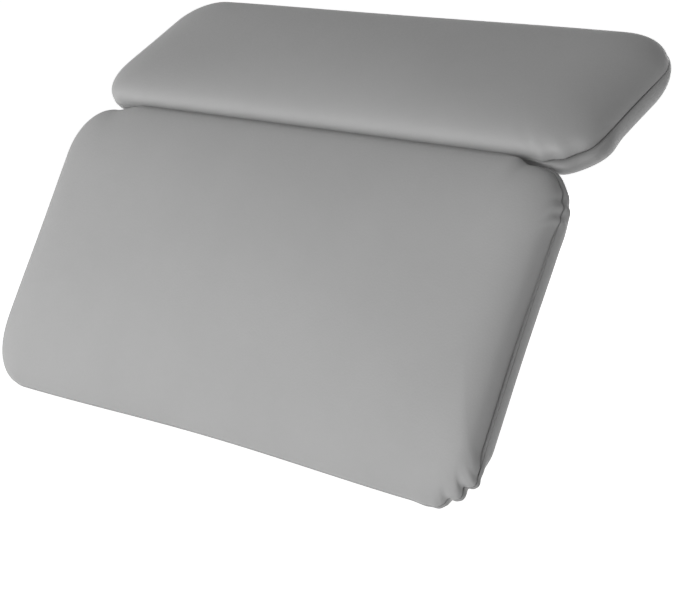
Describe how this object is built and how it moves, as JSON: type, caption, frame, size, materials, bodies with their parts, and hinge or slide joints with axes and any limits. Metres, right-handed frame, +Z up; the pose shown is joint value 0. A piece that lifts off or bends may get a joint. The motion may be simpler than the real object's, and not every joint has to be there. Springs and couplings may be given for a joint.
{
  "type": "bath pillow",
  "caption": "Two-panel folding bath pillow with foam cushions in grey grained vinyl, a sewn hinge between them and suction cups on their backs.",
  "frame": {"origin": "on the tub wall, in the middle of the four lower suction cups' rims", "axes": "+X along the hinge, to the right as seen from the front; +Z up; the front faces -Y, and the lower cushion leans back towards +Y as it does on a tub end"},
  "size_m": [0.3656, 0.183, 0.2234],
  "materials": {
    "front_vinyl": "satin",
    "back_vinyl": "satin",
    "hinge_vinyl": "satin",
    "patch_vinyl": "satin",
    "foam": "matte",
    "clear_pvc": "gloss",
    "washer_plastic": "satin"
  },
  "bodies": {
    "lower_panel": {"lower_front_cover": "front_vinyl", "lower_back_cover": "back_vinyl", "lower_foam_core": "foam", "lower_hinge_flap": "hinge_vinyl", "cup_patch_lower_1": "patch_vinyl", "cup_patch_lower_2": "patch_vinyl", "cup_patch_lower_3": "patch_vinyl", "cup_patch_lower_4": "patch_vinyl", "cup_washer_lower_1": "washer_plastic", "cup_washer_lower_2": "washer_plastic", "cup_washer_lower_3": "washer_plastic", "cup_washer_lower_4": "washer_plastic"},
    "upper_panel": {"upper_front_cover": "front_vinyl", "upper_back_cover": "back_vinyl", "upper_foam_core": "foam", "upper_hinge_flap": "hinge_vinyl", "cup_patch_upper_1": "patch_vinyl", "cup_patch_upper_2": "patch_vinyl", "cup_patch_upper_3": "patch_vinyl", "cup_washer_upper_1": "washer_plastic", "cup_washer_upper_2": "washer_plastic", "cup_washer_upper_3": "washer_plastic"},
    "cup_lower_1": {"suction_cup_lower_1": "clear_pvc"},
    "cup_lower_2": {"suction_cup_lower_2": "clear_pvc"},
    "cup_lower_3": {"suction_cup_lower_3": "clear_pvc"},
    "cup_lower_4": {"suction_cup_lower_4": "clear_pvc"},
    "cup_upper_1": {"suction_cup_upper_1": "clear_pvc"},
    "cup_upper_2": {"suction_cup_upper_2": "clear_pvc"},
    "cup_upper_3": {"suction_cup_upper_3": "clear_pvc"}
  },
  "joints": [
    {"name": "panel_fold", "type": "hinge", "parent": "lower_panel", "child": "upper_panel", "pos_m": [0, 0.01243, 0.1042], "axis": [1, 0, 0], "range_deg": [-35, 82]},
    {"name": "cup_lower_1_spin", "type": "hinge", "parent": "lower_panel", "child": "cup_lower_1", "pos_m": [-0.11375, -0.01798, -0.03461], "axis": [0, 0.8874, -0.461], "continuous": true},
    {"name": "cup_lower_2_spin", "type": "hinge", "parent": "lower_panel", "child": "cup_lower_2", "pos_m": [0.11375, -0.01798, -0.03461], "axis": [0, 0.8874, -0.461], "continuous": true},
    {"name": "cup_lower_3_spin", "type": "hinge", "parent": "lower_panel", "child": "cup_lower_3", "pos_m": [-0.11375, 0.01798, 0.03461], "axis": [0, 0.8874, -0.461], "continuous": true},
    {"name": "cup_lower_4_spin", "type": "hinge", "parent": "lower_panel", "child": "cup_lower_4", "pos_m": [0.11375, 0.01798, 0.03461], "axis": [0, 0.8874, -0.461], "continuous": true},
    {"name": "cup_upper_1_spin", "type": "hinge", "parent": "upper_panel", "child": "cup_upper_1", "pos_m": [-0.11375, 0.08478, 0.10231], "axis": [0, 0.4886, -0.8725], "continuous": true},
    {"name": "cup_upper_2_spin", "type": "hinge", "parent": "upper_panel", "child": "cup_upper_2", "pos_m": [0, 0.08478, 0.10231], "axis": [0, 0.4886, -0.8725], "continuous": true},
    {"name": "cup_upper_3_spin", "type": "hinge", "parent": "upper_panel", "child": "cup_upper_3", "pos_m": [0.11375, 0.08478, 0.10231], "axis": [0, 0.4886, -0.8725], "continuous": true}
  ]
}
